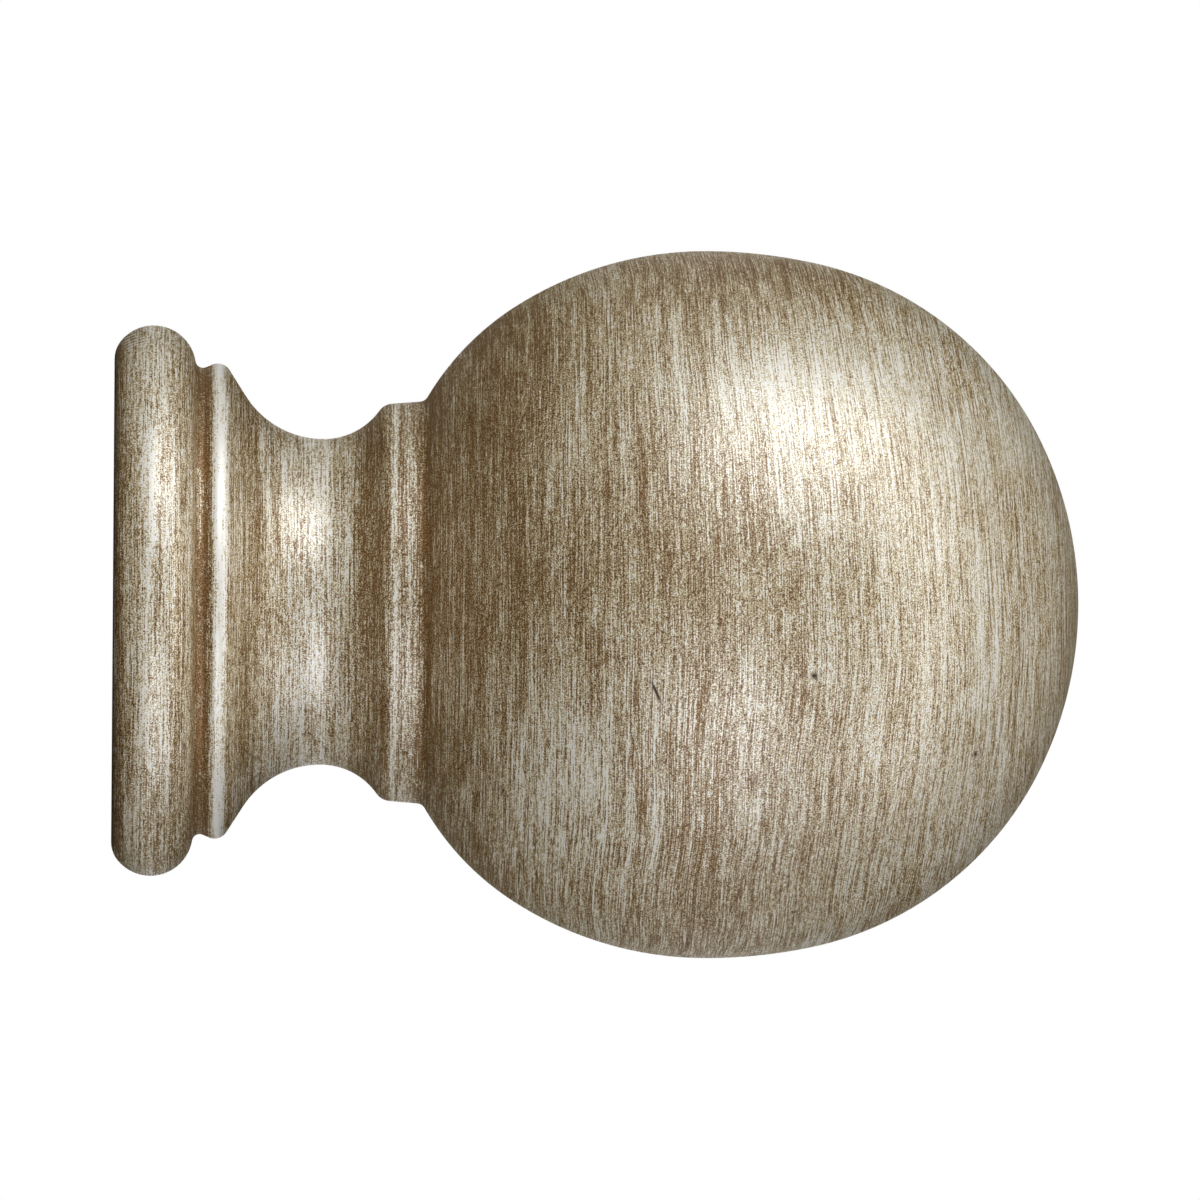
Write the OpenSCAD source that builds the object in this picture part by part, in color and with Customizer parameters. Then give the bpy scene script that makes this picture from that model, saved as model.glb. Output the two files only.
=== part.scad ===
// Ball finial for the end of a wooden curtain pole.
// One turned wooden body, with a flanged brass insert pressed into its back face.
// +Z runs along the turning axis, towards the tip of the ball.
// The origin is the centre of the flat back face, which seats against the pole's end.

/* [Back ring] */
// Outer diameter of the half-round back ring
ring_d = 68.8; // [66:0.1:76]
// Radius of the ring's half-round section
ring_section_r = 5.3; // [4.5:0.1:6.5]
// Depth faced off the ring to make the flat seat
seat_trim = 0.4; // [0.1:0.1:1.2]

/* [Groove and bead] */
// Depth of the groove below the ring's outer edge
groove_depth = 5.25; // [4.5:0.05:6.5]
// Radius of the rounded groove floor
groove_fillet = 0.95; // [0.6:0.05:1.2]
// Rise from the groove floor to the crest of the bead
bead_rise = 0.55; // [0.3:0.05:0.8]
// Radius of the bead's crest
bead_r = 1.75; // [1.2:0.05:2]
// Distance along the axis from the groove floor to the bead's crest
bead_pitch = 1.85; // [1.8:0.05:2.6]
// Angle between the axis and the straight flank behind the bead
flank_angle = 57.5; // [50:0.5:62]

/* [Cove] */
// Diameter at the narrowest point of the neck
cove_d = 40.7; // [34:0.1:43]
// Radius of the cove's sweep on the ring side
cove_ring_side_r = 11.5; // [9:0.1:14]
// Radius of the cove's sweep on the ball side
cove_ball_side_r = 8.6; // [7:0.1:12]

/* [Collar] */
// Diameter of the collar at its shoulder
collar_d = 49.7; // [46:0.1:54]
// Radius of the collar's rounded shoulder
shoulder_r = 2.2; // [1.2:0.1:2.6]
// Widening angle of the collar towards the ball
collar_flare = 4.5; // [0:0.5:9]
// Length of the collar from its shoulder to the ball
collar_len = 4.1; // [3:0.1:8]
// Radius of the fillet between collar and ball
crease_fillet = 1.2; // [0.4:0.1:1.6]

/* [Ball] */
// Largest diameter of the ball
ball_d = 88.4; // [80:0.1:110]
// How much tighter than the ball the arc beside the collar is
heel_tightening = 10; // [2:0.1:14]
// Angle below the crest at which the tighter heel arc starts
heel_angle = 33; // [25:0.5:38]
// How much flatter than the ball the arc over its crest is
crest_flattening = 19.5; // [2:0.5:30]
// Angle above the crest at which the flatter crest arc ends
crest_angle = 12.3; // [6:0.1:14]
// How much tighter than the ball the arc before the tip is
brow_tightening = 2.9; // [1:0.1:4]
// Angle above the crest at which the tip arc starts
tip_angle = 64.5; // [55:0.5:72]

/* [Brass insert] */
// Diameter of the threaded hole at the crests of its thread
thread_hole_d = 6.7; // [5:0.1:7.4]
// Widest diameter of the thread of the bolt that screws in
bolt_d = 8; // [6:0.1:8.4]
// Diameter of the insert's barrel between its barbs
barrel_d = 11; // [10.2:0.1:12.4]
// Height of each barb above the barrel
barb_h = 0.7; // [0.3:0.05:1.2]
// Number of barbs along the barrel
barb_count = 5; // [2:1:6]
// Distance from one barb to the next
barb_pitch = 3; // [1.8:0.1:3.2]
// Length of the insert, its flange included
insert_len = 20; // [20:0.5:30]
// Diameter of the insert's flange
flange_d = 18; // [16:0.5:26]
// Thickness of the flange
flange_t = 1.4; // [0.8:0.1:3]
// Depth of the flange's face below the seat
flange_recess = 0.4; // [0.1:0.1:1.5]
// Clearance around the flange in its counterbore
flange_clearance = 0.15; // [0.05:0.05:0.5]
// Chamfer at the mouth of the threaded hole
mouth_chamfer = 0.8; // [0.3:0.1:1.2]
// Chamfer on the flange's rim
rim_chamfer = 0.3; // [0.1:0.05:0.5]

/* [Bolt hole] */
// Clearance on diameter around the bolt, deeper than the insert
bolt_clearance = 0.5; // [0.2:0.1:1]
// Depth of the drilled hole beyond the insert
bolt_run_out = 8; // [3:0.5:20]
// Point angle of the drill that made the hole
drill_point_angle = 118; // [90:1:140]

/* [Hidden] */
$fn = 180;

champagne_silver = [0.72, 0.67, 0.55];
brass = [0.80, 0.64, 0.32];

// How far the flat steps along a round stretch may lie from its true arc
chord_error = 0.01;
// How far a cut runs past the face that it opens
cut_margin = 1;

// Points are [distance from the axis, height above the seat]. The outline is worked out from
// the seat up to the tip, as rounds and hollows that run into each other without a corner.

// Ring, groove and bead
ring_centre = [ring_d / 2 - ring_section_r, ring_section_r - seat_trim];
seat_angle = -asin(ring_centre[1] / ring_section_r);
groove_floor_r = ring_d / 2 - groove_depth;
groove_centre = centre_above(ring_centre, ring_section_r + groove_fillet, groove_floor_r + groove_fillet);
ring_end_angle = heading(ring_centre, groove_centre);
bead_centre = [groove_floor_r + bead_rise - bead_r, groove_centre[1] + bead_pitch];
ramp_angle = crossing_angle(groove_centre, groove_fillet, bead_centre, bead_r);

// Straight flank down to the foot of the cove
flank_start = bead_centre + bead_r * direction(flank_angle);
flank_foot_r = cove_d / 2 + cove_ring_side_r * (1 - cos(flank_angle));
flank_len = (flank_start[0] - flank_foot_r) / sin(flank_angle);
neck_z = flank_start[1] + flank_len * cos(flank_angle) + cove_ring_side_r * sin(flank_angle);
cove_ring_side_centre = [cove_d / 2 + cove_ring_side_r, neck_z];
cove_ball_side_centre = [cove_d / 2 + cove_ball_side_r, neck_z];

// Collar
shoulder_centre = centre_above(
    cove_ball_side_centre, cove_ball_side_r + shoulder_r, collar_d / 2 - shoulder_r
);
cove_end_angle = heading(shoulder_centre, cove_ball_side_centre);
collar_start = shoulder_centre + shoulder_r * direction(-collar_flare);
collar_along = direction(90 - collar_flare);
collar_meets_ball = collar_start + collar_len / cos(collar_flare) * collar_along;

// Ball
ball_r = ball_d / 2;
heel_r = ball_r - heel_tightening;
crest_r = ball_r + crest_flattening;
brow_r = ball_r - brow_tightening;
heel_centre = centre_above(collar_meets_ball, heel_r, heel_tightening * cos(heel_angle));
ball_centre = heel_centre - heel_tightening * direction(-heel_angle);
crest_centre = ball_centre - crest_flattening * direction(0);
brow_centre = crest_centre + (crest_r - brow_r) * direction(crest_angle);
tip_centre = brow_centre - brow_centre[0] * [1, tan(tip_angle)];
tip_r = brow_r + brow_centre[0] / cos(tip_angle);

// Fillet where the collar meets the ball
crease_offset = collar_start + crease_fillet * direction(-collar_flare) - heel_centre;
crease_across = crease_offset * collar_along;
crease_reach = sqrt(
    pow(heel_r + crease_fillet, 2) - crease_offset * crease_offset + pow(crease_across, 2)
);
crease_centre = heel_centre + crease_offset - (crease_across + crease_reach) * collar_along;
crease_end_angle = heading(heel_centre, crease_centre);

body_outline = concat(
    [[0, 0]],
    round_stretch(ring_centre, ring_section_r, seat_angle, ring_end_angle),
    hollow_stretch(groove_centre, groove_fillet, ring_end_angle, ramp_angle),
    round_stretch(bead_centre, bead_r, ramp_angle, flank_angle),
    hollow_stretch(cove_ring_side_centre, cove_ring_side_r, flank_angle, 0),
    hollow_stretch(cove_ball_side_centre, cove_ball_side_r, 0, cove_end_angle),
    round_stretch(shoulder_centre, shoulder_r, cove_end_angle, -collar_flare),
    hollow_stretch(crease_centre, crease_fillet, -collar_flare, crease_end_angle),
    round_stretch(heel_centre, heel_r, crease_end_angle, -heel_angle),
    round_stretch(ball_centre, ball_r, -heel_angle, 0),
    round_stretch(crest_centre, crest_r, 0, crest_angle),
    round_stretch(brow_centre, brow_r, crest_angle, tip_angle),
    round_stretch(tip_centre, tip_r, tip_angle, 90)
);

// Insert and the hole that takes it
flange_top_z = flange_recess + flange_t;
insert_end_z = flange_recess + insert_len;
first_barb_z = insert_end_z - barb_count * barb_pitch;
bolt_hole_r = (bolt_d + bolt_clearance) / 2;
bolt_hole_end_z = insert_end_z + bolt_run_out;
drill_point_h = bolt_hole_r / tan(drill_point_angle / 2);

// Unit vector at angle a from the radial direction, turning towards the tip
function direction(a) = [cos(a), sin(a)];
// Angle of the line from point a to point b
function heading(a, b) = atan2(b[1] - a[1], b[0] - a[0]);
// The point above c that lies at distance reach from it and at radius r from the axis
function centre_above(c, reach, r) = [r, c[1] + sqrt(reach * reach - pow(r - c[0], 2))];
// Outward angle of the straight line that leaves hollow c1 and runs on to round c2
function crossing_angle(c1, r1, c2, r2) =
    heading(c1, c2) + acos((r1 + r2) / norm(c2 - c1)) - 180;
// Steps along an arc that keep its chords within chord_error of it
function steps(r, a0, a1) = max(2, ceil(abs(a1 - a0) / (2 * acos(1 - chord_error / r))));
// Points where the outward normal turns from angle a0 to a1, on a round of radius r about c
function round_stretch(c, r, a0, a1) =
    let (n = steps(r, a0, a1))
    [for (i = [0 : n]) c + r * direction(a0 + (a1 - a0) * i / n)];
// The same on a hollow, whose centre lies outside the wood
function hollow_stretch(c, r, a0, a1) =
    let (n = steps(r, a0, a1))
    [for (i = [0 : n]) c - r * direction(a0 + (a1 - a0) * i / n)];

// Barbed outside of the insert, without its flange
module barrel_outline() {
    translate([0, flange_recess]) square([barrel_d / 2, insert_len]);
    for (i = [0 : barb_count - 1])
        translate([0, first_barb_z + i * barb_pitch])
            polygon([
                [0, 0],
                [barrel_d / 2 + barb_h, 0],
                [barrel_d / 2, barb_pitch],
                [0, barb_pitch]
            ]);
}

module flange_outline() {
    polygon([
        [0, flange_recess],
        [flange_d / 2 - rim_chamfer, flange_recess],
        [flange_d / 2, flange_recess + rim_chamfer],
        [flange_d / 2, flange_top_z],
        [0, flange_top_z]
    ]);
}

// Threaded hole through the insert, with a chamfer at each mouth
module thread_hole_outline() {
    mouth_r = thread_hole_d / 2 + mouth_chamfer;
    translate([0, flange_recess - cut_margin])
        square([thread_hole_d / 2, insert_len + 2 * cut_margin]);
    polygon([[0, flange_recess], [mouth_r, flange_recess], [0, flange_recess + mouth_r]]);
    polygon([[0, insert_end_z], [mouth_r, insert_end_z], [0, insert_end_z - mouth_r]]);
}

// All that is cut from the body's back: counterbore, seat of the barrel and bolt hole
module back_hole_outline() {
    translate([0, -cut_margin])
        square([flange_d / 2 + flange_clearance, flange_top_z + cut_margin]);
    barrel_outline();
    square([bolt_hole_r, bolt_hole_end_z]);
    translate([0, bolt_hole_end_z])
        polygon([[0, 0], [bolt_hole_r, 0], [0, drill_point_h]]);
}

module finial_body() {
    color(champagne_silver)
        rotate_extrude()
            difference() {
                polygon(body_outline);
                back_hole_outline();
            }
}

module threaded_insert() {
    color(brass)
        rotate_extrude()
            difference() {
                union() {
                    flange_outline();
                    barrel_outline();
                }
                thread_hole_outline();
            }
}

finial_body();
threaded_insert();
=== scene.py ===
"""Looks of a turned wooden ball finial, brushed in champagne silver over a brown glaze.

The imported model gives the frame. The turned body and its brass insert are rebuilt here at a
finer grain, from the same named sizes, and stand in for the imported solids.
"""

import logging
import math
from dataclasses import dataclass
from enum import Enum
from typing import ClassVar

import bpy
from mathutils import Matrix, Vector


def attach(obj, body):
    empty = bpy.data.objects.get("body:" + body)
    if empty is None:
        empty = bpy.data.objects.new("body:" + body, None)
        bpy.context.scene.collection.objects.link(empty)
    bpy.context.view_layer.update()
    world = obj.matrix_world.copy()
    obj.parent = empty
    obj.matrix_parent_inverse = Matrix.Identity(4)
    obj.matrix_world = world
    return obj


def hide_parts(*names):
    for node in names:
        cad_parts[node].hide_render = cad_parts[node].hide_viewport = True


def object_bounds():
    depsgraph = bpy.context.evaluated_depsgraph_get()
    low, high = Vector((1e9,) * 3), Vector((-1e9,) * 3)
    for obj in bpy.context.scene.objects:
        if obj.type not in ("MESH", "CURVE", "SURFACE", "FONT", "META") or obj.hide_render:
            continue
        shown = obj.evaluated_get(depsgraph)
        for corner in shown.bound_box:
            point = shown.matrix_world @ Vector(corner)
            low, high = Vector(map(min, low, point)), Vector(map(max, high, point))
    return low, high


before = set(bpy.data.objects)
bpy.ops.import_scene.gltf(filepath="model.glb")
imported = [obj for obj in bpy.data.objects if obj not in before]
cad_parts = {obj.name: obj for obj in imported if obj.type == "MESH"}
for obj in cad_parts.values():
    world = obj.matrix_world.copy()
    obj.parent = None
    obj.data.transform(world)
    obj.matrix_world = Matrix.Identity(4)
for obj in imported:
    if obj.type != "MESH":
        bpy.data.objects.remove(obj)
CAD_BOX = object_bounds()

LOG = logging.getLogger("finial")
MM = 0.001
PER_METRE = 1000.0
SAME_PLACE = 1e-7

Colour = tuple[float, float, float, float]
Point = tuple[float, float]  # distance from the axis and height above the seat
Span = tuple[float, float]  # where a change starts and where it is complete
Cell = tuple[float, float]  # length around the piece and width along its outline
Socket = bpy.types.NodeSocket
Inputs = dict[str | int, object]


def polar(centre: Point, reach: float, angle: float) -> Point:
    """The point at a distance from a centre, at degrees from the radial direction towards the tip."""
    turn = math.radians(angle)
    return (centre[0] + reach * math.cos(turn), centre[1] + reach * math.sin(turn))


def heading(start: Point, end: Point) -> float:
    """Degrees from the radial direction of the line from one point to another."""
    return math.degrees(math.atan2(end[1] - start[1], end[0] - start[0]))


def centre_above(below: Point, reach: float, radius: float) -> Point:
    """The point above another, at a distance from it and at a radius from the axis."""
    return (radius, below[1] + math.sqrt(reach**2 - (radius - below[0]) ** 2))


class Sweep(Enum):
    """Which way a stretch of the turned outline curves."""

    ROUND = 1
    HOLLOW = -1


class FinishMap(Enum):
    """Values kept on a mesh for its finish to read."""

    RUN = "outline_run"


@dataclass(frozen=True)
class Stretch:
    """One arc of the outline, on which the outward normal turns from one angle to another."""

    centre: Point
    radius: float
    start: float
    end: float
    sweep: Sweep = Sweep.ROUND

    def point(self, angle: float) -> Point:
        """The point of the arc where the outward normal has this angle."""
        return polar(self.centre, self.sweep.value * self.radius, angle)

    def points(self, spacing: float, turn: float) -> list[Point]:
        """Points along the arc, its two ends included.

        Args:
            spacing: The longest step along the arc.
            turn: The largest turn of the normal in one step, in degrees.

        Returns:
            The points in order from the start angle to the end angle.
        """
        swept = abs(self.end - self.start)
        length = math.radians(swept) * self.radius
        steps = max(2, math.ceil(length / spacing), math.ceil(swept / turn))
        step = (self.end - self.start) / steps
        return [self.point(self.start + step * i) for i in range(steps + 1)]


@dataclass(frozen=True)
class Revolved:
    """A closed surface turned about the axis, from one point on the axis to another or in a loop."""

    name: str
    around: int
    sharp_angle: float = 16.0

    def build(self, outline: list[Point], groove: "Thread | None" = None) -> bpy.types.Object:
        """Turns an outline about the axis.

        Args:
            outline: Points of distance from the axis and height, in order.
            groove: A thread cut into the points that it reaches, if there is one.

        Returns:
            The new object, with the length run along the outline kept on its vertices.
        """
        looped = outline[0][0] > 0
        verts: list[tuple[float, float, float]] = []
        runs: list[float] = []
        rings: list[list[int]] = []
        run = 0.0
        before = outline[0]
        for radius, height in outline:
            run += math.dist(before, (radius, height))
            before = (radius, height)
            ring = []
            for column in range(self.around if radius > 0 else 1):
                angle = math.tau * column / self.around
                reach = radius + (groove.depth_at(radius, height, angle) if groove else 0.0)
                ring.append(len(verts))
                verts.append((reach * math.cos(angle), reach * math.sin(angle), height))
                runs.append(run)
            rings.append(ring)
        faces: list[tuple[int, ...]] = []
        following = rings[1:] + ([rings[0]] if looped else [])
        for lower, upper in zip(rings, following):
            faces += self._band(lower, upper)
        mesh = bpy.data.meshes.new(self.name)
        mesh.from_pydata(verts, [], faces)
        mesh.attributes.new(FinishMap.RUN.value, "FLOAT", "POINT").data.foreach_set("value", runs)
        mesh.validate()
        mesh.update()
        for face in mesh.polygons:
            face.use_smooth = True
        mesh.set_sharp_from_angle(angle=math.radians(self.sharp_angle))
        made = bpy.data.objects.new(self.name, mesh)
        bpy.context.scene.collection.objects.link(made)
        return made

    def _band(self, lower: list[int], upper: list[int]) -> list[tuple[int, ...]]:
        """Joins two rings, either of which may be a single point on the axis.

        Args:
            lower: Numbers of the points of one ring.
            upper: Numbers of the points of the next ring.

        Returns:
            The faces between them.
        """
        faces: list[tuple[int, ...]] = []
        for column in range(self.around):
            after = (column + 1) % self.around
            if len(lower) == 1:
                faces.append((lower[0], upper[after], upper[column]))
            elif len(upper) == 1:
                faces.append((lower[column], lower[after], upper[0]))
            else:
                faces.append((lower[column], lower[after], upper[after], upper[column]))
        return faces


@dataclass(frozen=True)
class Thread:
    """A screw thread cut into the wall of a hole."""

    hole_radius: float
    depth: float
    pitch: float
    bottom: float
    top: float
    crest_share: float = 0.15

    def depth_at(self, radius: float, height: float, angle: float) -> float:
        """How far the thread is cut at one place.

        Args:
            radius: Distance of the place from the axis.
            height: Height of the place above the seat.
            angle: Angle about the axis, in radians.

        Returns:
            The depth of the cut, which is nothing away from the wall of the hole.
        """
        if abs(radius - self.hole_radius) > SAME_PLACE:
            return 0.0
        phase = (height / self.pitch - angle / math.tau) % 1.0
        flank = min(1.0, max(0.0, (abs(2 * phase - 1) - self.crest_share) / (1 - 2 * self.crest_share)))
        run_in = min(height - self.bottom, self.top - height) / self.pitch
        return self.depth * flank * min(1.0, max(0.0, run_in))


class Graph:
    """A material's nodes, made and joined in a few words."""

    def __init__(self, name: str) -> None:
        """Starts an empty material.

        Args:
            name: The material's name.
        """
        self.material = bpy.data.materials.new(name)
        self.material.use_nodes = True
        self.nodes = self.material.node_tree.nodes
        self.links = self.material.node_tree.links
        self.nodes.clear()

    def put(self, kind: str, inputs: Inputs | None = None, **settings: object) -> bpy.types.Node:
        """Adds a node.

        Args:
            kind: The node's type without its ShaderNode prefix.
            inputs: A value or a socket for each input, by name or number.
            settings: Values of the node's own properties.

        Returns:
            The new node.
        """
        node = self.nodes.new("ShaderNode" + kind)
        for key, value in settings.items():
            setattr(node, key, value)
        for key, value in (inputs or {}).items():
            if isinstance(value, Socket):
                self.links.new(value, node.inputs[key])
            else:
                node.inputs[key].default_value = value
        return node

    def math(self, operation: str, first: Socket | float, second: Socket | float = 0.0) -> Socket:
        """One step of arithmetic on one or two numbers."""
        return self.put("Math", {0: first, 1: second}, operation=operation).outputs[0]

    def total(self, *terms: Socket | float) -> Socket | float:
        """Adds up several numbers.

        Args:
            *terms: The numbers, each of them a value or a socket.

        Returns:
            Their sum.
        """
        sum_so_far = terms[0]
        for term in terms[1:]:
            sum_so_far = self.math("ADD", sum_so_far, term)
        return sum_so_far

    def times(self, *factors: Socket | float) -> Socket | float:
        """Multiplies several numbers.

        Args:
            *factors: The numbers, each of them a value or a socket.

        Returns:
            Their product.
        """
        product = factors[0]
        for factor in factors[1:]:
            product = self.math("MULTIPLY", product, factor)
        return product

    def rise(self, value: Socket, start: float, end: float) -> Socket:
        """A smooth step from 0 at start to 1 at end."""
        inputs = {"Value": value, "From Min": start, "From Max": end}
        return self.put("MapRange", inputs, interpolation_type="SMOOTHSTEP").outputs[0]

    def band(self, value: Socket, centre: float, width: float) -> Socket:
        """A soft band, 1 at its centre and faded to about a third at its width on both sides."""
        away = self.math("DIVIDE", self.math("SUBTRACT", value, centre), width)
        return self.math("POWER", math.e, self.times(away, away, -1.0))

    def noise(self, place: Socket, detail: float = 2.0) -> Socket:
        """Soft noise about zero.

        Args:
            place: The place, already scaled to the noise's own cells.
            detail: How many finer layers lie over the first.

        Returns:
            The noise.
        """
        inputs = {"Vector": place, "Scale": 1.0, "Detail": detail, "Roughness": 0.5}
        made = self.put("TexNoise", inputs, noise_dimensions="3D")
        return self.math("SUBTRACT", made.outputs[0], 0.5)

    def ramp(self, value: Socket, stops: list[tuple[float, Colour]]) -> Socket:
        """A colour for each value, blended between stops.

        Args:
            value: The number to colour.
            stops: Each stop's value and colour, in rising order.

        Returns:
            The colour.
        """
        node = self.put("ValToRGB", {0: value})
        steps = node.color_ramp.elements
        for place, colour in stops[1:-1]:
            steps.new(place).color = colour
        steps[0].position, steps[0].color = stops[0]
        steps[-1].position, steps[-1].color = stops[-1]
        return node.outputs[0]

    def mix(self, share: Socket | float, first: Socket | Colour, second: Socket | Colour) -> Socket:
        """A blend of two colours.

        Args:
            share: How much of the second colour there is, from 0 to 1.
            first: The first colour.
            second: The second colour.

        Returns:
            The blend.
        """
        node = self.put("Mix", data_type="RGBA")
        ends = (node.inputs[0], node.inputs[6], node.inputs[7])
        for socket, value in zip(ends, (share, first, second)):
            if isinstance(value, Socket):
                self.links.new(value, socket)
            else:
                socket.default_value = value
        return node.outputs[2]

    def close(self, shader: Socket) -> bpy.types.Material:
        """Joins the last shader to the material's output and gives the material back."""
        self.put("OutputMaterial", {"Surface": shader})
        return self.material


@dataclass(frozen=True)
class Place:
    """Coordinates on a turned piece, in millimetres, that a finish is laid out by."""

    LEAST_SQUARE: ClassVar[float] = 1e-4
    across: Socket
    deep: Socket
    height: Socket
    radius: Socket
    run: Socket

    @classmethod
    def on(cls, graph: Graph) -> "Place":
        """The coordinates of the piece that the graph's material is put on.

        Args:
            graph: The nodes to add to.

        Returns:
            The coordinates.
        """
        local = graph.put("TexCoord").outputs["Object"]
        scaled = graph.put("VectorMath", {0: local, "Scale": PER_METRE}, operation="SCALE")
        parts = graph.put("SeparateXYZ", {0: scaled.outputs[0]}).outputs
        flat = graph.math("ADD", graph.times(parts[0], parts[0]), graph.times(parts[1], parts[1]))
        radius = graph.math("SQRT", graph.math("ADD", flat, cls.LEAST_SQUARE))
        kept = graph.put("Attribute", attribute_name=FinishMap.RUN.value).outputs["Fac"]
        run = graph.times(kept, PER_METRE)
        return cls(parts[0], parts[1], parts[2], radius, run)

    def cells(self, graph: Graph, run: Socket, length: float, width: float) -> Socket:
        """Noise cells that are long around the piece and narrow along its outline.

        Args:
            graph: The nodes to add to.
            run: The length run along the outline, bent as the strokes are.
            length: Length of a cell around the piece, in millimetres.
            width: Width of a cell along the outline, in millimetres.

        Returns:
            The place in cells.
        """
        inputs = {
            0: graph.times(self.across, 1 / length),
            1: graph.times(self.deep, 1 / length),
            2: graph.times(run, 1 / width),
        }
        return graph.put("CombineXYZ", inputs).outputs[0]


@dataclass(frozen=True)
class Spot:
    """A small place in millimetres, dark where its depth is above 0 and silvery where it is below.

    The lean is how far it climbs for each millimetre across.
    """

    height: float
    across: float
    along: float
    wide: float
    depth: float
    lean: float = 0.0

    def depth_at(self, graph: Graph, place: Place) -> Socket:
        """How deep the spot is at a place.

        Args:
            graph: The nodes to add to.
            place: Coordinates on the piece.

        Returns:
            The depth, 0 away from the spot.
        """
        height = place.height
        if self.lean:
            from_centre = graph.math("SUBTRACT", place.across, self.across)
            height = graph.total(height, graph.times(from_centre, -self.lean))
        near = graph.band(height, self.height, self.wide)
        beside = graph.band(place.across, self.across, self.along)
        return graph.times(near, beside, self.depth)


def marks(graph: Graph, place: Place, spots: tuple[Spot, ...]) -> Socket:
    """The summed depth of several spots, 0 away from them."""
    return graph.total(*(spot.depth_at(graph, place) for spot in spots))


@dataclass(frozen=True)
class Ring:
    """A soft ring about the axis where the tone is lighter or darker, in millimetres; some rings are
    silver lying thicker or thinner, others painted light and shade.
    """

    height: float
    width: float
    cover: float

    def cover_at(self, graph: Graph, place: Place) -> Socket:
        """The tone that the ring adds or takes away at a place."""
        return graph.times(graph.band(place.height, self.height, self.width), self.cover)


@dataclass(frozen=True)
class Brushing:
    """Strokes of one length and width, in millimetres, with their strength on the ball and below it."""

    length: float
    width: float
    on_ball: float
    below: float

    def about_zero(self, graph: Graph, place: Place, run: Socket, ball: Socket) -> Socket:
        """Their light and dark about zero, for a run bent as they are and a ball that is 1 on the ball."""
        gain = graph.total(self.below, graph.times(ball, self.on_ball - self.below))
        return graph.times(graph.noise(place.cells(graph, run, self.length, self.width), 0.0), gain)


@dataclass(frozen=True)
class BrushPath:
    """How strokes leave their level rings: they bow on the ball and wander a little, in millimetres."""

    bow: float = 6.8e-5
    bow_from: float = 55.0
    bow_centre: float = 5.0
    sway_cell: Cell = (26.0, 34.0)
    sway: float = 0.3
    sway_more: float = 1.7
    more_between: Span = (42.0, 62.0)

    def run(self, graph: Graph, place: Place) -> Socket:
        """The run along the outline, bent as the strokes are.

        Args:
            graph: The nodes to add to.
            place: Coordinates on the piece.

        Returns:
            The bent run.
        """
        beyond = graph.math("MAXIMUM", graph.math("SUBTRACT", place.height, self.bow_from), 0.0)
        aside = graph.math("SUBTRACT", place.across, self.bow_centre)
        bow = graph.times(beyond, aside, aside, -self.bow)
        looser = graph.times(graph.rise(place.height, *self.more_between), self.sway_more)
        wander = graph.noise(place.cells(graph, place.run, *self.sway_cell), detail=1.0)
        sway = graph.times(wander, graph.math("ADD", looser, self.sway))
        return graph.total(place.run, bow, sway)


@dataclass(frozen=True)
class RubbingAndPaintedLight:
    """Where the silver lies thick or was rubbed thin and where glaze has gathered, in millimetres, with
    light and shade painted in rings along the height: painted highlight on the back ring's crest and the
    cove, rubbed silver and painted highlight on the bead, shoulder and collar, painted shade at the back
    ring's edge, glaze and painted shade at the end of the cove, in the crease and at the heel of the ball,
    and painted light on the crown, brow and tip.
    """

    patch_cell: Cell = (15.0, 8.0)
    patches: float = 0.28
    uneven_cell: Cell = (7.0, 1.4)
    unevenness: float = 2.4
    # Painted shade at the back ring's edge next to the seat.
    ring_edge_painted_shade: Ring = Ring(0.0, 1.5, -0.32)
    # Painted highlight on the back ring's crest.
    ring_crest_painted_highlight: Ring = Ring(4.6, 2.8, 0.18)
    ring_line: Ring = Ring(5.7, 0.3, -0.16)
    groove: Ring = Ring(11.2, 1.05, -0.52)
    # Rubbed silver and painted highlight on the bead.
    bead: Ring = Ring(13.2, 0.85, 0.66)
    bead_flank: Ring = Ring(17.0, 1.8, -0.08)
    # Painted highlight in the middle of the cove.
    cove: Ring = Ring(24.5, 5.0, 0.22)
    # Glaze and painted shade at the end of the cove.
    cove_end: Ring = Ring(32.0, 2.0, -0.26)
    # Rubbed silver and painted highlight on the shoulder and the collar.
    shoulder: Ring = Ring(35.0, 0.5, 0.30)
    collar: Ring = Ring(37.0, 0.9, 0.14)
    # Glaze and painted shade in the crease.
    crease: Ring = Ring(38.9, 1.2, -0.28)
    # Painted shade low on the ball next to the collar, partly heavier glaze.
    heel: Ring = Ring(45.0, 9.0, -0.27)
    belly: Ring = Ring(72.0, 6.0, -0.09)
    # Painted light towards the tip of the ball: on the crown, the brow and the tip.
    crown_painted_light: Ring = Ring(93.0, 9.0, 0.08)
    brow: Ring = Ring(109.5, 10.0, 0.19)
    tip: Ring = Ring(119.5, 3.5, 0.02)

    def cover(self, graph: Graph, place: Place) -> Socket:
        """How much silver lies over the glaze, with painted light and shade: above 0 on rubbed crests and
        painted highlights, below it where glaze gathers and where shade is painted.

        Args:
            graph: The nodes to add to.
            place: Coordinates on the piece.

        Returns:
            The silver's cover and the painted light and shade, about zero.
        """
        rings = (self.ring_edge_painted_shade, self.ring_crest_painted_highlight, self.ring_line, self.groove, self.bead, self.bead_flank)
        rings += (self.cove, self.cove_end, self.shoulder, self.collar, self.crease)
        rings += (self.heel, self.belly, self.crown_painted_light, self.brow, self.tip)
        ringed_wear_and_light = graph.total(*(ring.cover_at(graph, place) for ring in rings))
        patchy = graph.noise(place.cells(graph, place.run, *self.patch_cell))
        uneven = graph.noise(place.cells(graph, place.run, *self.uneven_cell))
        worn_and_painted_light = graph.times(ringed_wear_and_light, graph.total(1.0, graph.times(uneven, self.unevenness)))
        return graph.total(graph.times(patchy, self.patches), worn_and_painted_light)


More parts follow.
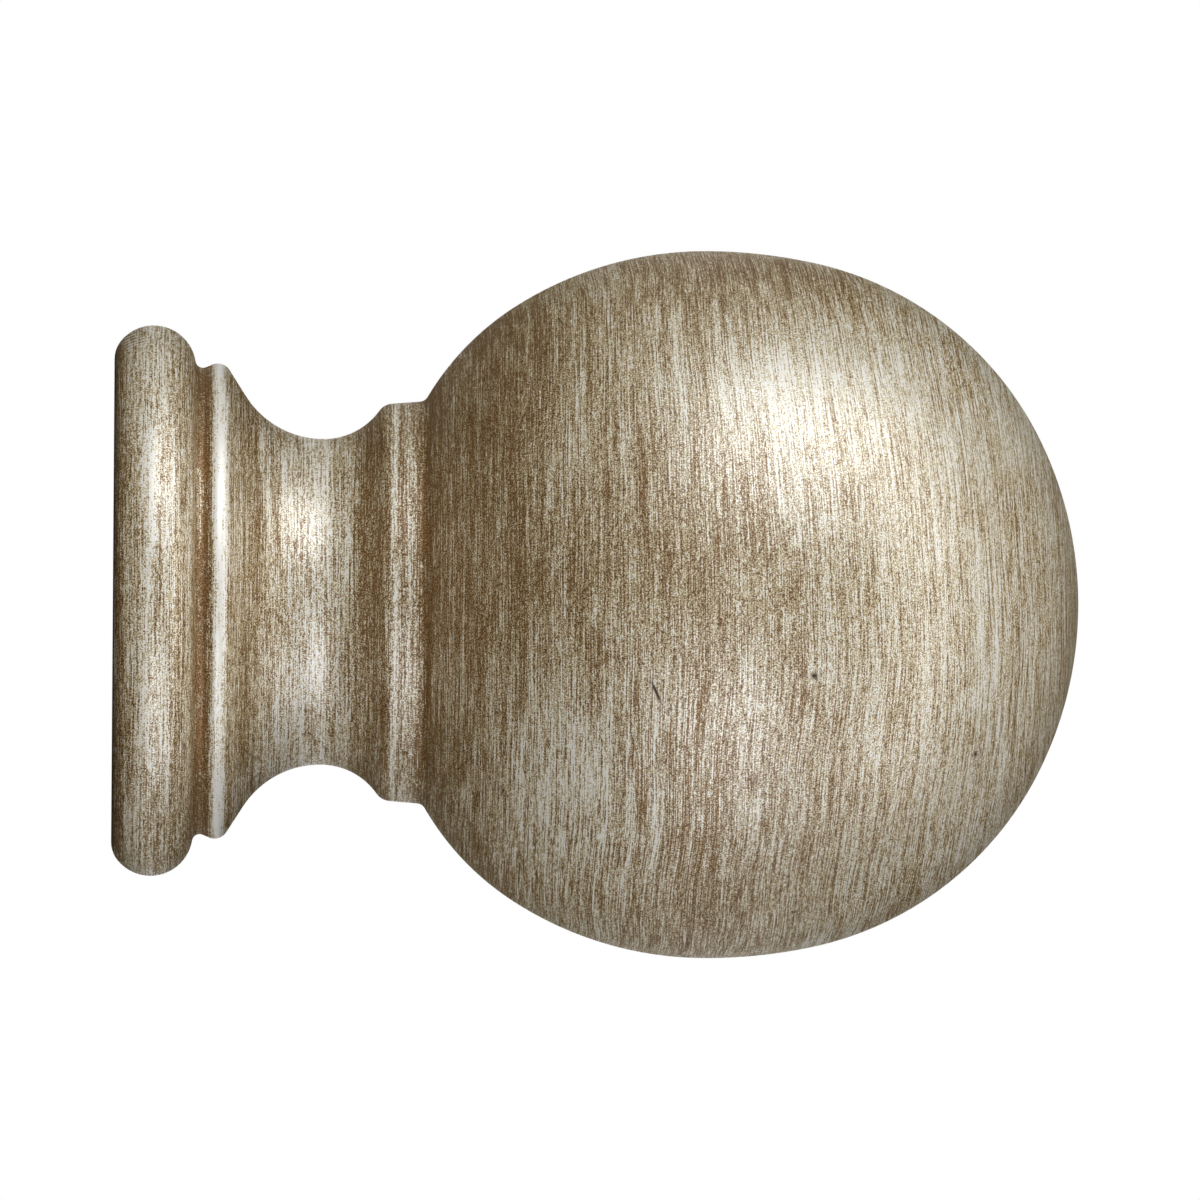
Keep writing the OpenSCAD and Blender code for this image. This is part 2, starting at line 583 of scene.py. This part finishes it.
@dataclass(frozen=True)
class Scuff:
    """Fine curved scratches at the side of the back ring, in millimetres."""

    spot: Spot = Spot(2.2, -32.6, 1.3, 1.5, 0.95)
    pitch: float = 0.36
    slant: float = 0.62
    curve: float = -0.05
    line: Span = (0.10, 0.90)
    break_cell: Cell = (1.1, 0.9)
    broken: Span = (-0.16, 0.06)

    def silver(self, graph: Graph, place: Place) -> Socket:
        """The silver that the scratches lay bare.

        Args:
            graph: The nodes to add to.
            place: Coordinates on the piece.

        Returns:
            The silver, 0 away from the scratches.
        """
        slanted = graph.times(place.height, self.slant)
        curved = graph.times(place.height, place.height, self.curve)
        over = graph.total(place.across, slanted, curved)
        wave = graph.math("SINE", graph.times(over, math.tau / self.pitch))
        breaks = graph.noise(place.cells(graph, place.run, *self.break_cell))
        lines = graph.times(graph.rise(wave, *self.line), graph.rise(breaks, *self.broken))
        return graph.times(lines, self.spot.depth_at(graph, place))


@dataclass(frozen=True)
class BareWood:
    """Turned end grain, pale between the growth rings, with fine open pores, in millimetres."""

    pale: Colour = (0.470, 0.285, 0.125, 1.0)
    dark: Colour = (0.250, 0.125, 0.045, 1.0)
    pith_across: float = 31.0
    pith_deep: float = -17.0
    ring_width: float = 2.1
    waver: float = 2.4
    waver_cell: Cell = (9.0, 9.0)
    pore_cell: Cell = (0.22, 0.22)
    late_share: float = 0.75
    pore_share: float = 0.9
    dark_between: Span = (0.0, 0.9)
    rougher: float = 0.38
    seat_between: Span = (0.06, 0.01)
    seat_rim: Span = (0.6, -0.4)
    hole_wall: Span = (10.5, 9.9)
    hole_top: Span = (40.0, 38.0)
    bleed: float = 1.6
    bleed_cell: Cell = (3.0, 3.0)

    def colour(self, graph: Graph, place: Place) -> Socket:
        """The colour of the end grain.

        Args:
            graph: The nodes to add to.
            place: Coordinates on the piece.

        Returns:
            The colour.
        """
        across = graph.math("SUBTRACT", place.across, self.pith_across)
        deep = graph.math("SUBTRACT", place.deep, self.pith_deep)
        square = graph.total(graph.times(across, across), graph.times(deep, deep))
        waver = graph.noise(place.cells(graph, place.height, *self.waver_cell))
        away = graph.total(graph.math("SQRT", square), graph.times(waver, self.waver))
        year = graph.math("FRACT", graph.times(away, 1 / self.ring_width))
        pores = graph.noise(place.cells(graph, place.height, *self.pore_cell))
        late = graph.times(year, year, self.late_share)
        share = graph.total(late, graph.times(pores, self.pore_share))
        return graph.mix(graph.rise(share, *self.dark_between), self.pale, self.dark)

    def share(self, graph: Graph, place: Place, rim: float) -> Socket:
        """Where the brush never went: 1 on the seat and in the drilled hole, 0 on the outside.

        Args:
            graph: The nodes to add to.
            place: Coordinates on the piece.
            rim: Distance of the seat's edge from the axis, in millimetres.

        Returns:
            The share of bare wood.
        """
        wander = graph.times(graph.noise(place.cells(graph, place.radius, *self.bleed_cell)), self.bleed)
        edge = (rim + self.seat_rim[0], rim + self.seat_rim[1])
        inside = graph.rise(graph.total(place.radius, wander), *edge)
        on_seat = graph.times(graph.rise(place.height, *self.seat_between), inside)
        narrow = graph.rise(place.radius, *self.hole_wall)
        low = graph.rise(place.height, *self.hole_top)
        return graph.math("MAXIMUM", on_seat, graph.times(narrow, low))


@dataclass(frozen=True)
class BrushedSilver:
    """Champagne silver brushed around the turning over a brown glaze, rubbed thin on the crests, with
    light and shade painted into its tone.

    Lengths are in millimetres, apart from the height of the relief.
    """

    deep_glaze: Colour = (0.070, 0.026, 0.003, 1.0)
    glaze: Colour = (0.160, 0.074, 0.010, 1.0)
    tan: Colour = (0.345, 0.228, 0.058, 1.0)
    champagne: Colour = (0.545, 0.436, 0.208, 1.0)
    silver: Colour = (0.880, 0.876, 0.852, 1.0)
    tone_steps: tuple[float, ...] = (0.10, 0.28, 0.47, 0.66, 0.92)
    middle_tone: float = 0.506
    metal: float = 0.08
    ior: float = 3.0
    roughness: float = 0.47
    relief: float = 0.25
    relief_height: float = 0.03 * MM
    dark_bronze: Colour = (0.190, 0.095, 0.028, 1.0)
    bronze: Colour = (0.440, 0.260, 0.100, 1.0)
    bronze_between: Span = (-0.16, 0.16)
    bare_between: Span = (0.44, 0.06)
    bare_share: float = 0.85
    bare_metal: float = 0.80
    bare_roughness: float = 0.14
    rim_metal: float = 0.28
    rim_between: Span = (0.45, 0.85)
    front_between: Span = (0.0, -2.0)
    ball_between: Span = (38.0, 46.0)
    strokes: tuple[Brushing, ...] = (
        Brushing(1.0, 0.21, 0.66, 0.90),
        Brushing(5.5, 0.14, 1.00, 0.95),
        Brushing(22.0, 0.16, 0.60, 0.80),
        Brushing(24.0, 1.2, 0.32, 0.40),
    )
    grit: Brushing = Brushing(0.17, 0.17, 1.52, 1.65)
    path: BrushPath = BrushPath()
    rubbing_and_painted_light: RubbingAndPaintedLight = RubbingAndPaintedLight()
    scuff: Scuff = Scuff()
    wood: BareWood = BareWood()
    rough_patch: Spot = Spot(61.0, 24.0, 14.0, 13.0, 0.55)
    dirt: Colour = (0.085, 0.058, 0.036, 1.0)
    specks: tuple[Spot, ...] = (
        Spot(67.1, 10.8, 1.30, 0.20, 1.50, 0.46),
        Spot(68.9, 12.9, 0.35, 0.20, 0.80),
        Spot(86.6, 8.7, 0.40, 0.48, 1.10),
        Spot(79.1, 22.0, 0.50, 0.30, 0.60),
        Spot(107.1, 18.3, 0.40, 0.26, 0.90),
        Spot(70.9, -21.7, 0.60, 0.20, 0.50),
    )
    worn_and_painted_light: tuple[Spot, ...] = (
        # Broad places where the tone is lighter or darker: painted highlight beside the ball's highlight
        # at across -27, painted light low on the ball at across 22, painted shade along the ball's edge at
        # across -42; the others silver lying thicker or thinner.
        Spot(53.0, 22.0, 15.0, 14.0, -0.30),
        Spot(80.0, -27.0, 8.0, 13.0, -0.30),
        Spot(81.0, -42.0, 4.0, 17.0, 0.17),
        Spot(96.0, -28.0, 9.0, 9.0, -0.06),
        Spot(57.0, -1.0, 10.0, 6.0, 0.09),
        # Small brown smudges.
        Spot(85.9, 11.0, 1.20, 0.55, 0.40, -0.35),
        Spot(79.4, 21.8, 1.30, 0.65, 0.38, -0.20),
        Spot(81.0, 27.5, 0.80, 0.40, 0.32),
        Spot(60.9, 6.6, 1.00, 0.35, 0.40),
        Spot(93.2, 10.2, 0.60, 0.35, 0.34),
        # Painted highlights on the back ring and the bead, on the side towards the key lamp.
        Spot(4.8, -15.0, 9.0, 2.6, -0.24),
        Spot(13.2, -14.0, 10.0, 0.9, -0.30),
    )

    def material(self, seat_rim: float) -> bpy.types.Material:
        """The finish as a material.

        Args:
            seat_rim: Distance of the seat's edge from the axis, in metres.

        Returns:
            The material.
        """
        graph = Graph("champagne_silver_finish")
        place = Place.on(graph)
        run = self.path.run(graph, place)
        ball = graph.rise(place.height, *self.ball_between)
        front = graph.rise(place.deep, *self.front_between)
        strokes = self._strokes(graph, place, run, ball)
        grit = self.grit.about_zero(graph, place, run, ball)
        # The rubbing adds painted highlights and painted shade in rings along the height, besides rubbed
        # silver and glaze.
        tone = graph.total(self.middle_tone, strokes, grit, self.rubbing_and_painted_light.cover(graph, place))
        # The worn places include painted highlights and painted shade on the ring, the bead and the ball.
        tone = graph.math("SUBTRACT", tone, marks(graph, place, self.worn_and_painted_light))
        tone = graph.total(tone, graph.times(front, self.scuff.silver(graph, place)))
        bare = graph.rise(tone, *self.bare_between)
        paints = (self.deep_glaze, self.glaze, self.tan, self.champagne, self.silver)
        layered = graph.ramp(tone, list(zip(self.tone_steps, paints)))
        bronze = graph.mix(graph.rise(grit, *self.bronze_between), self.dark_bronze, self.bronze)
        paint = graph.mix(graph.times(bare, self.bare_share), layered, bronze)
        specks = graph.times(front, marks(graph, place, self.specks))
        soiled = graph.math("MINIMUM", specks, 1.0)
        paint = graph.mix(soiled, paint, self.dirt)
        unpainted = self.wood.share(graph, place, seat_rim * PER_METRE)
        painted = graph.math("SUBTRACT", 1.0, unpainted)
        rough = graph.total(self.roughness, graph.times(bare, self.bare_roughness))
        metal = graph.total(self.metal, graph.times(bare, self.bare_metal))
        facing = graph.put("LayerWeight", {"Blend": 0.5}).outputs["Facing"]
        rim = graph.times(graph.rise(facing, *self.rim_between), self.rim_metal)
        metal = graph.math("MAXIMUM", graph.math("MAXIMUM", metal, rim), soiled)
        relief_inputs = {"Strength": self.relief, "Distance": self.relief_height, "Height": strokes}
        relief = graph.put("Bump", relief_inputs)
        inputs = {
            "Base Color": graph.mix(unpainted, paint, self.wood.colour(graph, place)),
            "Roughness": graph.total(rough, graph.times(unpainted, self.wood.rougher)),
            "Metallic": graph.times(metal, painted),
            "IOR": self.ior,
            "Normal": relief.outputs[0],
        }
        return graph.close(graph.put("BsdfPrincipled", inputs).outputs[0])

    def _strokes(self, graph: Graph, place: Place, run: Socket, ball: Socket) -> Socket:
        """Strokes of every length that the brush leaves, from dashes to long drags, about zero.

        Args:
            graph: The nodes to add to.
            place: Coordinates on the piece.
            run: The length run along the outline, bent as the strokes are.
            ball: 1 on the ball and 0 below it.

        Returns:
            The strokes' light and dark.
        """
        layers = [brushing.about_zero(graph, place, run, ball) for brushing in self.strokes]
        rougher = self.rough_patch.depth_at(graph, place)
        return graph.times(graph.total(*layers), graph.math("ADD", rougher, 1.0))


@dataclass(frozen=True)
class SpunBrass:
    """Brass as it leaves the lathe, with fine rings and a little tarnish."""

    bright: Colour = (0.720, 0.520, 0.225, 1.0)
    dull: Colour = (0.440, 0.290, 0.115, 1.0)
    ring_cell: Cell = (30.0, 0.12)
    ring_share: float = 0.3
    ring_roughness: float = 0.12
    tarnish_cell: Cell = (2.4, 2.4)
    tarnish_detail: float = 4.0
    dull_between: Span = (-0.16, 0.20)
    dull_roughness: float = 0.2
    roughness: float = 0.28
    relief: float = 0.3
    relief_height: float = 0.02 * MM

    def material(self) -> bpy.types.Material:
        """The finish as a material.

        Returns:
            The material.
        """
        graph = Graph("insert_brass")
        place = Place.on(graph)
        rings = graph.noise(place.cells(graph, place.run, *self.ring_cell))
        tarnish = graph.noise(place.cells(graph, place.run, *self.tarnish_cell), self.tarnish_detail)
        share = graph.rise(graph.total(tarnish, graph.times(rings, self.ring_share)), *self.dull_between)
        rougher = (graph.times(share, self.dull_roughness), graph.times(rings, self.ring_roughness))
        relief_inputs = {"Strength": self.relief, "Distance": self.relief_height, "Height": rings}
        inputs = {
            "Base Color": graph.mix(share, self.bright, self.dull),
            "Metallic": 1.0,
            "Roughness": graph.total(self.roughness, *rougher),
            "Normal": graph.put("Bump", relief_inputs).outputs[0],
        }
        return graph.close(graph.put("BsdfPrincipled", inputs).outputs[0])


@dataclass
class TurnedFinial:
    """The turned wooden body: back ring, groove, bead, cove, collar and ball."""

    ring_d: float = 68.8 * MM
    ring_section_r: float = 5.3 * MM
    seat_trim: float = 0.4 * MM
    seat_round: float = 3.6 * MM
    groove_depth: float = 5.25 * MM
    groove_fillet: float = 0.95 * MM
    bead_rise: float = 0.55 * MM
    bead_r: float = 1.75 * MM
    bead_pitch: float = 1.85 * MM
    flank_angle: float = 57.5
    cove_d: float = 40.7 * MM
    cove_ring_side_r: float = 11.5 * MM
    cove_ball_side_r: float = 8.6 * MM
    collar_d: float = 49.7 * MM
    shoulder_r: float = 2.2 * MM
    collar_flare: float = 4.5
    collar_len: float = 4.1 * MM
    crease_fillet: float = 1.2 * MM
    ball_d: float = 88.4 * MM
    heel_tightening: float = 10.0 * MM
    heel_angle: float = 33.0
    crest_flattening: float = 19.5 * MM
    crest_angle: float = 12.3
    brow_tightening: float = 2.9 * MM
    tip_angle: float = 64.5
    mouth_break: float = 0.25 * MM
    around: int = 240
    spacing: float = 0.56 * MM
    spacing_slack: float = 1.01
    turn: float = 9.0
    finish: BrushedSilver = BrushedSilver()

    def lower_stretches(self) -> list[Stretch]:
        """The arcs from the seat up to where the collar's flare starts.

        Returns:
            The arcs in order.
        """
        ring = (self.ring_d / 2 - self.ring_section_r, self.ring_section_r - self.seat_trim)
        floor_r = self.ring_d / 2 - self.groove_depth
        groove = centre_above(ring, self.ring_section_r + self.groove_fillet, floor_r + self.groove_fillet)
        bead = (floor_r + self.bead_rise - self.bead_r, groove[1] + self.bead_pitch)
        apart = math.dist(groove, bead)
        lean = math.degrees(math.acos((self.groove_fillet + self.bead_r) / apart))
        ramp = heading(groove, bead) + lean - 180
        flank = math.radians(self.flank_angle)
        flank_top = polar(bead, self.bead_r, self.flank_angle)
        foot_r = self.cove_d / 2 + self.cove_ring_side_r * (1 - math.cos(flank))
        fall = (flank_top[0] - foot_r) / math.tan(flank)
        neck = flank_top[1] + fall + self.cove_ring_side_r * math.sin(flank)
        ring_side = (self.cove_d / 2 + self.cove_ring_side_r, neck)
        ball_side = (self.cove_d / 2 + self.cove_ball_side_r, neck)
        shoulder_reach = self.cove_ball_side_r + self.shoulder_r
        shoulder = centre_above(ball_side, shoulder_reach, self.collar_d / 2 - self.shoulder_r)
        cove_end = heading(shoulder, ball_side)
        inner = self.ring_section_r - self.seat_round
        edge_out = math.sqrt(inner**2 - (ring[1] - self.seat_round) ** 2)
        edge = (ring[0] + edge_out, self.seat_round)
        edge_end = heading(ring, edge)
        ring_end = heading(ring, groove)
        hollow = Sweep.HOLLOW
        return [
            Stretch(edge, self.seat_round, -90, edge_end),
            Stretch(ring, self.ring_section_r, edge_end, ring_end),
            Stretch(groove, self.groove_fillet, ring_end, ramp, hollow),
            Stretch(bead, self.bead_r, ramp, self.flank_angle),
            Stretch(ring_side, self.cove_ring_side_r, self.flank_angle, 0, hollow),
            Stretch(ball_side, self.cove_ball_side_r, 0, cove_end, hollow),
            Stretch(shoulder, self.shoulder_r, cove_end, -self.collar_flare),
        ]

    def ball_stretches(self, collar_start: Point) -> list[Stretch]:
        """The arcs from the crease up to the tip of the ball.

        Args:
            collar_start: Where the shoulder ends and the collar's straight flare starts.

        Returns:
            The arcs in order.
        """
        ball_r = self.ball_d / 2
        along = polar((0, 0), 1, 90 - self.collar_flare)
        slant = self.collar_len / math.cos(math.radians(self.collar_flare))
        meeting = (collar_start[0] + slant * along[0], collar_start[1] + slant * along[1])
        heel_r = ball_r - self.heel_tightening
        heel_out = self.heel_tightening * math.cos(math.radians(self.heel_angle))
        heel = centre_above(meeting, heel_r, heel_out)
        ball = polar(heel, -self.heel_tightening, -self.heel_angle)
        crest_r = ball_r + self.crest_flattening
        crest = (ball[0] - self.crest_flattening, ball[1])
        brow_r = ball_r - self.brow_tightening
        brow = polar(crest, crest_r - brow_r, self.crest_angle)
        tip_turn = math.radians(self.tip_angle)
        tip = (0.0, brow[1] - brow[0] * math.tan(tip_turn))
        tip_r = brow_r + brow[0] / math.cos(tip_turn)
        edge = polar(collar_start, self.crease_fillet, -self.collar_flare)
        offset = (edge[0] - heel[0], edge[1] - heel[1])
        across = offset[0] * along[0] + offset[1] * along[1]
        square = offset[0] ** 2 + offset[1] ** 2
        reach = math.sqrt((heel_r + self.crease_fillet) ** 2 - square + across**2)
        back = across + reach
        crease = (edge[0] - back * along[0], edge[1] - back * along[1])
        crease_end = heading(heel, crease)
        return [
            Stretch(crease, self.crease_fillet, -self.collar_flare, crease_end, Sweep.HOLLOW),
            Stretch(heel, heel_r, crease_end, -self.heel_angle),
            Stretch(ball, ball_r, -self.heel_angle, 0),
            Stretch(crest, crest_r, 0, self.crest_angle),
            Stretch(brow, brow_r, self.crest_angle, self.tip_angle),
            Stretch(tip, tip_r, self.tip_angle, 90),
        ]

    def outline(self, insert: "ThreadedInsert") -> list[Point]:
        """The whole outline, from the tip down to the seat and up into the drilled hole.

        Args:
            insert: The insert, whose seat is cut in the back.

        Returns:
            The points in order, the first and the last of them on the axis.
        """
        stretches = self.lower_stretches()
        stretches += self.ball_stretches(stretches[-1].point(-self.collar_flare))
        points: list[Point] = []
        for stretch in stretches:
            for point in stretch.points(self.spacing, self.turn):
                self._step_to(points, point)
        points[-1] = (0.0, points[-1][1])
        points.reverse()
        return points + insert.seat_in_wood(self.mouth_break)

    def _step_to(self, points: list[Point], point: Point) -> None:
        """Adds a point, with steps no longer than the spacing on the way, unless it is there already.

        Args:
            points: The points so far, which this adds to.
            point: The point to add.
        """
        if points:
            gap = math.dist(points[-1], point)
            if gap < SAME_PLACE:
                return
            steps = math.ceil(gap / self.spacing / self.spacing_slack)
            start = points[-1]
            for i in range(1, steps):
                share = i / steps
                points.append(tuple(a + (b - a) * share for a, b in zip(start, point)))
        points.append(point)

    def build(self, insert: "ThreadedInsert") -> bpy.types.Object:
        """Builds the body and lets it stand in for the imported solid.

        Args:
            insert: The insert, whose seat is cut in the back.

        Returns:
            The body.
        """
        made = Revolved("turned_body", self.around).build(self.outline(insert))
        made.data.materials.append(self.finish.material(self.ring_d / 2 - self.ring_section_r))
        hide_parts("finial_body")
        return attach(made, "root")


@dataclass
class ThreadedInsert:
    """The flanged, barbed brass insert that is pressed into the back of the body."""

    thread_hole_d: float = 6.7 * MM
    bolt_d: float = 8.0 * MM
    thread_pitch: float = 1.25 * MM
    barrel_d: float = 11.0 * MM
    barb_h: float = 0.7 * MM
    barb_count: int = 5
    barb_pitch: float = 3.0 * MM
    length: float = 20.0 * MM
    flange_d: float = 18.0 * MM
    flange_t: float = 1.4 * MM
    flange_recess: float = 0.4 * MM
    flange_clearance: float = 0.15 * MM
    mouth_chamfer: float = 0.8 * MM
    rim_chamfer: float = 0.3 * MM
    bolt_clearance: float = 0.5 * MM
    bolt_run_out: float = 8.0 * MM
    drill_point_angle: float = 118.0
    around: int = 96
    steps_a_turn: int = 10
    finish: SpunBrass = SpunBrass()

    @property
    def end(self) -> float:
        """Height of the insert's inner end."""
        return self.flange_recess + self.length

    def barbs(self) -> list[Point]:
        """Outline of the barbed barrel, from the flange to the inner end.

        Returns:
            The points in order.
        """
        barrel_r = self.barrel_d / 2
        first = self.end - self.barb_count * self.barb_pitch
        points = [(barrel_r, self.flange_recess + self.flange_t)]
        for i in range(self.barb_count):
            ledge = first + i * self.barb_pitch
            points += [(barrel_r, ledge), (barrel_r + self.barb_h, ledge)]
        return points + [(barrel_r, self.end)]

    def seat_in_wood(self, mouth_break: float) -> list[Point]:
        """Outline of all that is cut from the body's back, from its mouth to the drill's point.

        Args:
            mouth_break: Size of the broken edge at the mouth.

        Returns:
            The points in order, the last of them on the axis.
        """
        bore_r = self.flange_d / 2 + self.flange_clearance
        bolt_r = (self.bolt_d + self.bolt_clearance) / 2
        deep = self.end + self.bolt_run_out
        point_h = bolt_r / math.tan(math.radians(self.drill_point_angle / 2))
        mouth = [(bore_r + mouth_break, 0.0), (bore_r, mouth_break)]
        mouth.append((bore_r, self.flange_recess + self.flange_t))
        return mouth + self.barbs() + [(bolt_r, self.end), (bolt_r, deep), (0.0, deep + point_h)]

    def outline(self) -> list[Point]:
        """Outline of the insert as a closed loop, with even steps along its threaded wall.

        Returns:
            The points in order, the last of them next to the first.
        """
        hole_r = self.thread_hole_d / 2
        flange_r = self.flange_d / 2
        low = self.flange_recess
        outside = [(hole_r + self.mouth_chamfer, low), (flange_r - self.rim_chamfer, low)]
        outside += [(flange_r, low + self.rim_chamfer), (flange_r, low + self.flange_t)]
        outside += self.barbs() + [(hole_r + self.mouth_chamfer, self.end)]
        wall_top = self.end - self.mouth_chamfer
        wall_foot = low + self.mouth_chamfer
        steps = math.ceil((wall_top - wall_foot) / self.thread_pitch * self.steps_a_turn)
        fall = (wall_foot - wall_top) / steps
        return outside + [(hole_r, wall_top + fall * i) for i in range(steps + 1)]

    def build(self) -> bpy.types.Object:
        """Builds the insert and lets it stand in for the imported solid.

        Returns:
            The insert.
        """
        hole_r = self.thread_hole_d / 2
        depth = self.bolt_d / 2 - hole_r
        foot = self.flange_recess + self.mouth_chamfer
        thread = Thread(hole_r, depth, self.thread_pitch, foot, self.end - self.mouth_chamfer)
        made = Revolved("brass_insert", self.around).build(self.outline(), thread)
        made.data.materials.append(self.finish.material())
        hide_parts("threaded_insert")
        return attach(made, "root")


class LampShape(Enum):
    """The outlines that a soft lamp can have."""

    ROUND = "DISK"
    OBLONG = "RECTANGLE"


@dataclass(frozen=True)
class SoftBox:
    """A soft lamp that faces the finial: round, or oblong with its long side level."""

    name: str
    bearing: float
    height: float
    power: float
    tint: tuple[float, float, float] = (1.0, 1.0, 1.0)
    wide: float = 0.8
    tall: float = 0.0
    distance: float = 1.6

    def build(self, target: Vector) -> bpy.types.Object:
        """Hangs the lamp.

        Args:
            target: The point that it faces.

        Returns:
            The lamp.
        """
        bearing = math.radians(self.bearing)
        height = math.radians(self.height)
        level = math.cos(height)
        away = Vector((math.sin(bearing) * level, -math.cos(bearing) * level, math.sin(height)))
        side = Vector((0.0, 0.0, 1.0)).cross(away).normalized()
        lamp = bpy.data.lights.new(self.name, "AREA")
        lamp.shape = (LampShape.OBLONG if self.tall else LampShape.ROUND).value
        lamp.size = self.wide
        lamp.size_y = self.tall or self.wide
        lamp.energy = self.power
        lamp.color = self.tint
        made = bpy.data.objects.new(self.name, lamp)
        axes = Matrix((side, away.cross(side), away)).transposed().to_4x4()
        made.matrix_world = Matrix.Translation(target + away * self.distance) @ axes
        bpy.context.scene.collection.objects.link(made)
        return made


@dataclass
class Studio:
    """Floor, far white sweep, soft lamps and camera."""

    floor_reach: float = 4.5
    wall_reach: float = 4.6
    wall_foot: float = -0.30
    wall_height: float = 0.5
    around: int = 96
    floor_pale: Colour = (0.44, 0.42, 0.37, 1.0)
    white: Colour = (1.0, 1.0, 1.0, 1.0)
    white_between: Span = (0.9, 2.4)
    camera_distance: float = 3.2
    camera_clip: Span = (0.1, 40.0)
    view_width: float = 150.0 * MM
    sensor: float = 36.0
    aim_height: float = 60.9 * MM
    aim_across: float = -0.475 * MM
    roll: float = 0.413
    lamps: tuple[SoftBox, ...] = (
        SoftBox("key", -46.8, 14.0, 9.2, (0.945, 0.978, 1.0)),
        SoftBox("side", -64.7, 16.7, 3.2, (1.0, 0.965, 0.88)),
        SoftBox("high_side", -67.1, 39.9, 5.4, (1.0, 0.965, 0.88)),
        SoftBox("high", -32.4, 61.1, 3.9, (1.0, 0.955, 0.86)),
        SoftBox("high_front", 32.4, 61.1, 3.2, (1.0, 0.955, 0.86)),
        SoftBox("far_side", 67.1, 39.9, 3.4, (1.0, 0.97, 0.92)),
        SoftBox("low_front", 30.2, 6.1, 5.2, (0.985, 0.985, 1.0), wide=0.9, tall=0.26),
        SoftBox("low_side", 60.2, 3.5, 3.5, (0.97, 0.98, 1.0), wide=0.9, tall=0.26),
    )

    def build(self) -> None:
        """Sets up the floor, the sweep, the lamps, the world and the camera."""
        self._sweep()
        low, high = CAD_BOX
        target = Vector((0.0, 0.0, (low.z + high.z) / 2))
        for lamp in self.lamps:
            lamp.build(target)
        world = bpy.data.worlds.new("studio")
        world.use_nodes = True
        world.node_tree.nodes["Background"].inputs["Strength"].default_value = 0.0
        bpy.context.scene.world = world
        self._camera()
        bpy.context.scene.view_settings.view_transform = "Standard"

    def _sweep(self) -> None:
        """A round pale floor whose far rim turns up into a low white wall."""
        foot = (self.wall_reach, self.wall_foot)
        rings = [(self.floor_reach, 0.0), foot, (self.wall_reach, self.wall_height)]
        verts = [(0.0, 0.0, 0.0)]
        for radius, height in rings:
            for i in range(self.around):
                turn = math.tau * i / self.around
                verts.append((radius * math.cos(turn), radius * math.sin(turn), height))
        faces: list[tuple[int, ...]] = []
        for i in range(self.around):
            here = 1 + i
            after = 1 + (i + 1) % self.around
            faces.append((0, here, after))
            low = here + self.around
            low_after = after + self.around
            faces.append((low, low + self.around, low_after + self.around, low_after))
        mesh = bpy.data.meshes.new("studio_sweep")
        mesh.from_pydata(verts, [], faces)
        mesh.materials.append(self._sweep_material())
        sweep = bpy.data.objects.new("studio_sweep", mesh)
        bpy.context.scene.collection.objects.link(sweep)

    def _sweep_material(self) -> bpy.types.Material:
        """Pale paint close by, and plain white far off, seen by the view and by reflections alone.

        Returns:
            The material.
        """
        graph = Graph("studio_sweep")
        local = graph.put("TexCoord").outputs["Object"]
        parts = graph.put("SeparateXYZ", {0: local}).outputs
        flat = graph.math("ADD", graph.times(parts[0], parts[0]), graph.times(parts[1], parts[1]))
        far = graph.rise(graph.math("SQRT", flat), *self.white_between)
        path = graph.put("LightPath").outputs
        seen = graph.math("MAXIMUM", path["Is Camera Ray"], path["Is Glossy Ray"])
        seen = graph.math("MAXIMUM", seen, path["Is Transmission Ray"])
        paint = graph.put("BsdfDiffuse", {"Color": self.floor_pale})
        glow = graph.put("Emission", {"Color": self.white, "Strength": 1.0})
        shares = {0: graph.times(seen, far), 1: paint.outputs[0], 2: glow.outputs[0]}
        return graph.close(graph.put("MixShader", shares).outputs[0])

    def _camera(self) -> None:
        """A long lens in the plane of the floor, turned so that the axis lies across the view."""
        lens = bpy.data.cameras.new("camera")
        lens.sensor_width = self.sensor
        lens.lens = self.sensor * self.camera_distance / self.view_width
        lens.clip_start, lens.clip_end = self.camera_clip
        camera = bpy.data.objects.new("camera", lens)
        bpy.context.scene.collection.objects.link(camera)
        place = Vector((self.aim_across, -self.camera_distance, 0.0))
        back = (place - Vector((self.aim_across, 0.0, self.aim_height))).normalized()
        along = (Vector((0, 0, 1)) - back * back.z).normalized()
        up = back.cross(along)
        turn = Matrix.Rotation(math.radians(self.roll), 4, back)
        axes = Matrix((along, up, back)).transposed().to_4x4()
        camera.matrix_world = Matrix.Translation(place) @ turn @ axes
        bpy.context.scene.camera = camera


def report(piece: bpy.types.Object) -> None:
    """Logs a piece's name and its number of faces."""
    LOG.info("%s: %d faces", piece.name, len(piece.data.polygons))


def main() -> None:
    """Builds the finial, its insert and the studio, and reports each piece."""
    logging.basicConfig(level=logging.INFO, format="%(name)s: %(message)s")
    insert = ThreadedInsert()
    report(TurnedFinial().build(insert))
    report(insert.build())
    Studio().build()


if __name__ == "__main__":
    main()
